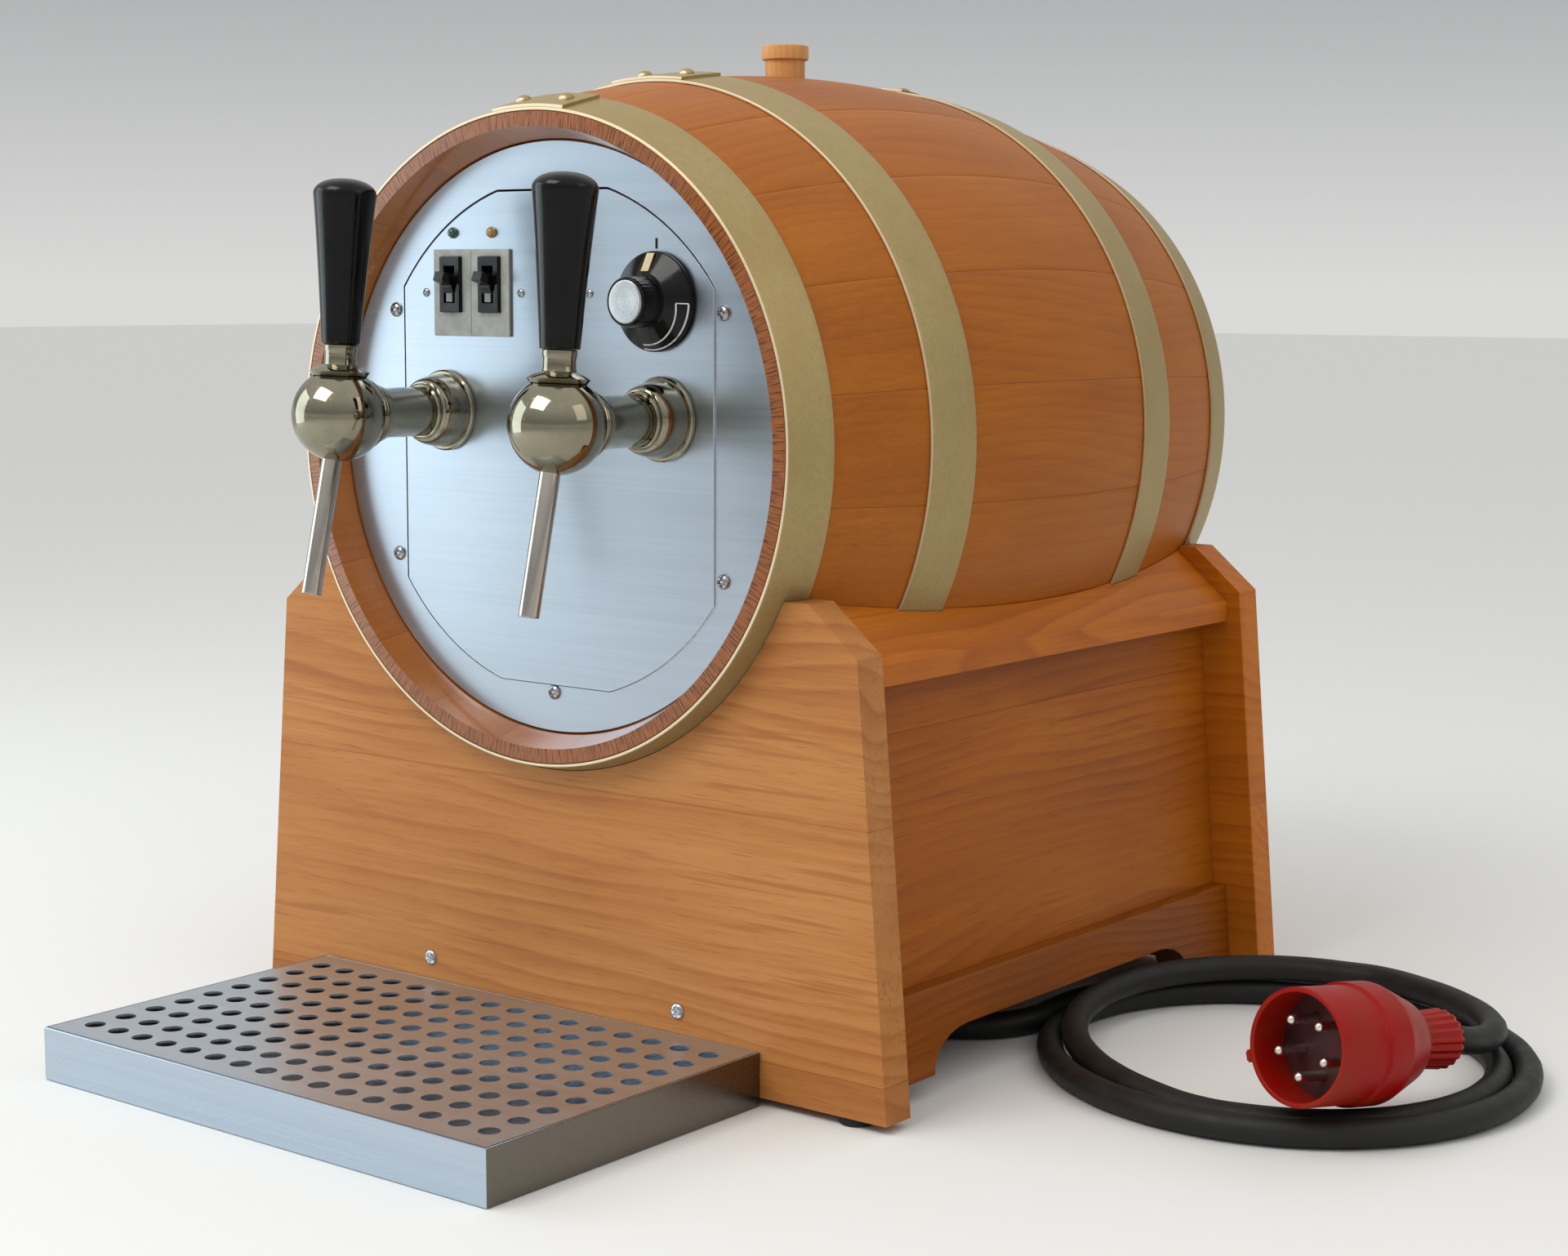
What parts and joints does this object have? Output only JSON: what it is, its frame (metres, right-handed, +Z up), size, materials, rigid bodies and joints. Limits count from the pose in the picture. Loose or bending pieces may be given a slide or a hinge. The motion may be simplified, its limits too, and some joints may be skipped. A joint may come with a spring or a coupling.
{
  "type": "mulled wine dispenser",
  "caption": "Heated drink dispenser in a coopered barrel on a wooden cradle, with ball taps, a control panel, a drip tray and a coiled mains lead.",
  "frame": {"origin": "on the floor, under the middle of the dispenser with its tray", "axes": "+Y from the taps to the rear along the barrel axis, +X to the right seen from the front, +Z up"},
  "size_m": [0.655, 0.6014, 0.5295],
  "materials": {
    "cradle_wood": "honey coloured lacquer",
    "barrel_wood": "orange brown lacquer",
    "bung_wood": "plain turned wood",
    "hoop_iron": "dull zinc, slightly olive",
    "brushed_sheet": "fine brushed",
    "tray_steel": "brushed",
    "inner_steel": "plain mill finish",
    "screw_steel": "polished",
    "tap_chrome": "polished",
    "spun_aluminium": "spun",
    "copper_bulb": "plain",
    "pin_nickel": "bright nickel",
    "black_plastic": "polished",
    "grey_plastic": "moulded",
    "pale_plastic": "moulded",
    "cream_paint": "painted mark",
    "green_lens": "clear lens, unlit",
    "amber_lens": "clear lens",
    "red_plastic": "moulded, slightly worn",
    "dark_red_plastic": "moulded",
    "black_rubber": "matt"
  },
  "bodies": {
    "dispenser": {"front_board": "cradle_wood", "rear_board": "cradle_wood", "side_panel_left": "cradle_wood", "side_panel_right": "cradle_wood", "top_rails": "cradle_wood", "bottom_rail_left": "cradle_wood", "bottom_rail_right": "cradle_wood", "rubber_feet": "black_rubber", "board_screws": "screw_steel", "barrel_staves": "barrel_wood", "chime_hoops": "hoop_iron", "quarter_hoops": "hoop_iron", "hoop_rivets": "hoop_iron", "front_head": "barrel_wood", "rear_head": "barrel_wood", "front_plate": "brushed_sheet", "plate_screws": "screw_steel", "control_panel": "brushed_sheet", "panel_screws": "screw_steel", "switch_frame": "pale_plastic", "switch_bodies": "black_plastic", "lamp_green": "green_lens", "lamp_amber": "amber_lens", "thermostat_body": "grey_plastic", "tap_bodies": "tap_chrome", "tap_rosettes": "tap_chrome", "tap_lock_nuts": "tap_chrome", "tap_end_plugs": "tap_chrome", "tap_spouts": "tap_chrome", "heater_tank": "inner_steel", "heater_flange": "inner_steel", "heating_elements": "inner_steel", "wine_lines": "inner_steel", "inlet_couplings": "inner_steel", "chassis": "inner_steel", "chassis_blocks": "cradle_wood", "terminal_block": "pale_plastic", "thermostat_probe": "copper_bulb", "cord_gland": "black_rubber", "cord_lead": "black_rubber", "cord_coil": "black_rubber", "cord_tail": "black_rubber", "plug_body": "red_plastic", "plug_insert": "dark_red_plastic", "plug_pins": "pin_nickel"},
    "lever_left": {"tap_lever_left": "tap_chrome", "tap_handle_left": "black_plastic", "valve_plug_left": "grey_plastic"},
    "lever_right": {"tap_lever_right": "tap_chrome", "tap_handle_right": "black_plastic", "valve_plug_right": "grey_plastic"},
    "knob": {"thermostat_knob": "black_plastic", "knob_cap": "spun_aluminium", "knob_pointer": "cream_paint", "thermostat_shaft": "screw_steel"},
    "switch_toggle_left": {"toggle_left": "black_plastic"},
    "switch_toggle_right": {"toggle_right": "black_plastic"},
    "tray": {"tray_pan": "tray_steel"},
    "grid": {"tray_grid": "tray_steel"},
    "stopper": {"bung": "bung_wood"}
  },
  "joints": [
    {"name": "tap_left", "type": "hinge", "parent": "dispenser", "child": "lever_left", "pos_m": [-0.0745, -0.18172, 0.3328], "axis": [1, 0, 0], "range_deg": [0, 24]},
    {"name": "tap_right", "type": "hinge", "parent": "dispenser", "child": "lever_right", "pos_m": [0.0745, -0.18172, 0.3328], "axis": [1, 0, 0], "range_deg": [0, 24]},
    {"name": "thermostat_turn", "type": "hinge", "parent": "dispenser", "child": "knob", "pos_m": [0.0705, -0.10572, 0.39], "axis": [0, 1, 0], "range_deg": [0, 270]},
    {"name": "switch_left", "type": "hinge", "parent": "dispenser", "child": "switch_toggle_left", "pos_m": [-0.0683, -0.10472, 0.398], "axis": [1, 0, 0], "range_deg": [0, 40]},
    {"name": "switch_right", "type": "hinge", "parent": "dispenser", "child": "switch_toggle_right", "pos_m": [-0.0407, -0.10472, 0.398], "axis": [1, 0, 0], "range_deg": [0, 40]},
    {"name": "tray_pull", "type": "slide", "parent": "dispenser", "child": "tray", "axis": [0, -1, 0], "range_m": [0, 0.2]},
    {"name": "grid_lift", "type": "slide", "parent": "tray", "child": "grid", "axis": [0, 0, 1], "range_m": [0, 0.1]},
    {"name": "bung_lift", "type": "slide", "parent": "dispenser", "child": "stopper", "axis": [0, 0, 1], "range_m": [0, 0.06]}
  ]
}
